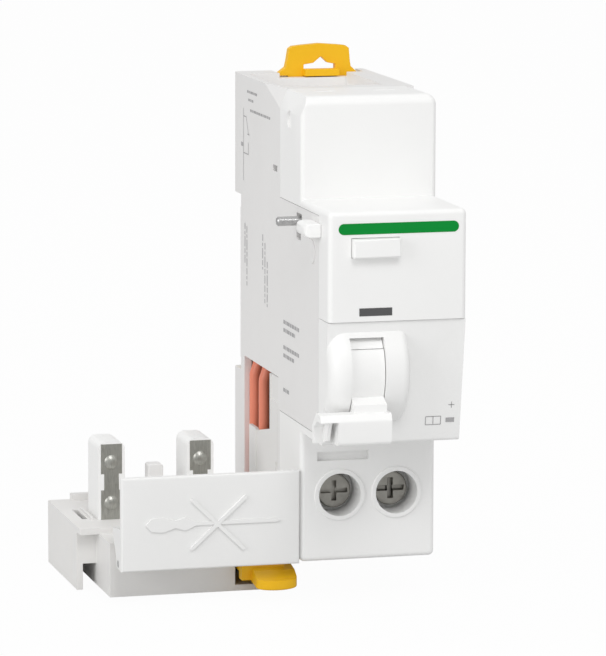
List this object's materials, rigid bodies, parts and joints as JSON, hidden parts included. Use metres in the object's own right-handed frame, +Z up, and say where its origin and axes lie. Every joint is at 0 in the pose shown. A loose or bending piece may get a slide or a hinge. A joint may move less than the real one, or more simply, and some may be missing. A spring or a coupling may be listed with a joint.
{
  "type": "residual current device",
  "caption": "Side-fitted residual current add-on block with test button, toggle, rail clips, screw terminals and a lower arm that carries contact blades under a breaker.",
  "frame": {"origin": "centre of the face that seats on the rail", "axes": "+X to the device's right, +Y back towards the rail, +Z up"},
  "size_m": [0.0665, 0.0782, 0.104],
  "materials": {
    "case": "satin light grey",
    "cover": "satin white",
    "stripe": "satin green",
    "dark_field": "satin dark grey",
    "button": "satin white",
    "toggle": "satin warm white",
    "inner_plastic": "satin grey",
    "clip": "satin yellow",
    "insulation": "satin orange",
    "steel": "bright",
    "screw_steel": "dark",
    "plated": "nickel plated",
    "copper": "plain copper",
    "spring_bronze": "plain bronze",
    "winding": "enamelled copper",
    "core": "coated ferrite",
    "relay": "satin black",
    "resistor": "satin blue grey"
  },
  "bodies": {
    "housing": {"case_body": "case", "upper_cover": "cover", "lower_cover": "cover", "stripe": "stripe", "dark_field": "dark_field", "test_leaf": "spring_bronze", "test_resistor": "resistor", "toggle_pin": "steel", "trip_shaft": "steel", "coupling_lug": "button", "ring_core": "core", "core_winding": "winding", "trip_relay": "relay", "relay_plunger": "steel", "terminal_bar_left": "copper", "terminal_bar_right": "copper", "arm_housing": "case", "blade_post_left": "cover", "blade_post_right": "cover", "blade_left": "plated", "blade_right": "plated", "middle_post": "case", "lead_rear": "insulation", "lead_front": "insulation", "shield_pin_left": "steel", "shield_pin_right": "steel"},
    "button": {"test_button": "button"},
    "toggle": {"toggle_lever": "toggle"},
    "trip": {"trip_lever": "inner_plastic", "trip_pin": "steel"},
    "top_clip_body": {"top_clip": "clip"},
    "low_clip_body": {"low_clip": "clip"},
    "shield_body": {"shield": "cover"},
    "screw_left": {"terminal_screw_left": "screw_steel"},
    "screw_right": {"terminal_screw_right": "screw_steel"},
    "cage_left": {"terminal_cage_left": "plated"},
    "cage_right": {"terminal_cage_right": "plated"}
  },
  "joints": [
    {"name": "test_press", "type": "slide", "parent": "housing", "child": "button", "axis": [0, 1, 0], "range_m": [0, 0.0012], "stiffness_N_per_m": 400, "springref_m": -0.0012},
    {"name": "toggle_swing", "type": "hinge", "parent": "housing", "child": "toggle", "pos_m": [-0.0056, -0.0597, -0.0083], "axis": [-1, 0, 0], "range_deg": [0, 62]},
    {"name": "trip_action", "type": "hinge", "parent": "housing", "child": "trip", "pos_m": [0, -0.037, 0.0148], "axis": [1, 0, 0], "range_deg": [0, 12], "stiffness_Nm_per_rad": 0.004, "springref_deg": -17.19},
    {"name": "top_clip_lift", "type": "slide", "parent": "housing", "child": "top_clip_body", "axis": [0, 0, 1], "range_m": [0, 0.0035]},
    {"name": "low_clip_pull", "type": "slide", "parent": "housing", "child": "low_clip_body", "axis": [0, 0, -1], "range_m": [0, 0.0027]},
    {"name": "shield_tip", "type": "hinge", "parent": "housing", "child": "shield_body", "pos_m": [-0.03135, -0.045, -0.0473], "axis": [1, 0, 0], "range_deg": [0, 75]},
    {"name": "screw_left_turn", "type": "hinge", "parent": "housing", "child": "screw_left", "pos_m": [-0.0057, -0.0415, -0.0352], "axis": [0, 1, 0], "range_deg": [0, 1080]},
    {"name": "cage_left_slide", "type": "slide", "parent": "housing", "child": "cage_left", "axis": [0, -1, 0], "range_m": [0, 0.0024]},
    {"name": "screw_right_turn", "type": "hinge", "parent": "housing", "child": "screw_right", "pos_m": [0.0057, -0.0415, -0.0352], "axis": [0, 1, 0], "range_deg": [0, 1080]},
    {"name": "cage_right_slide", "type": "slide", "parent": "housing", "child": "cage_right", "axis": [0, -1, 0], "range_m": [0, 0.0024]}
  ],
  "couplings": [
    {"joint": "screw_left_turn", "follows": "cage_left_slide", "rad_per_m": 7854},
    {"joint": "screw_right_turn", "follows": "cage_right_slide", "rad_per_m": 7854}
  ]
}
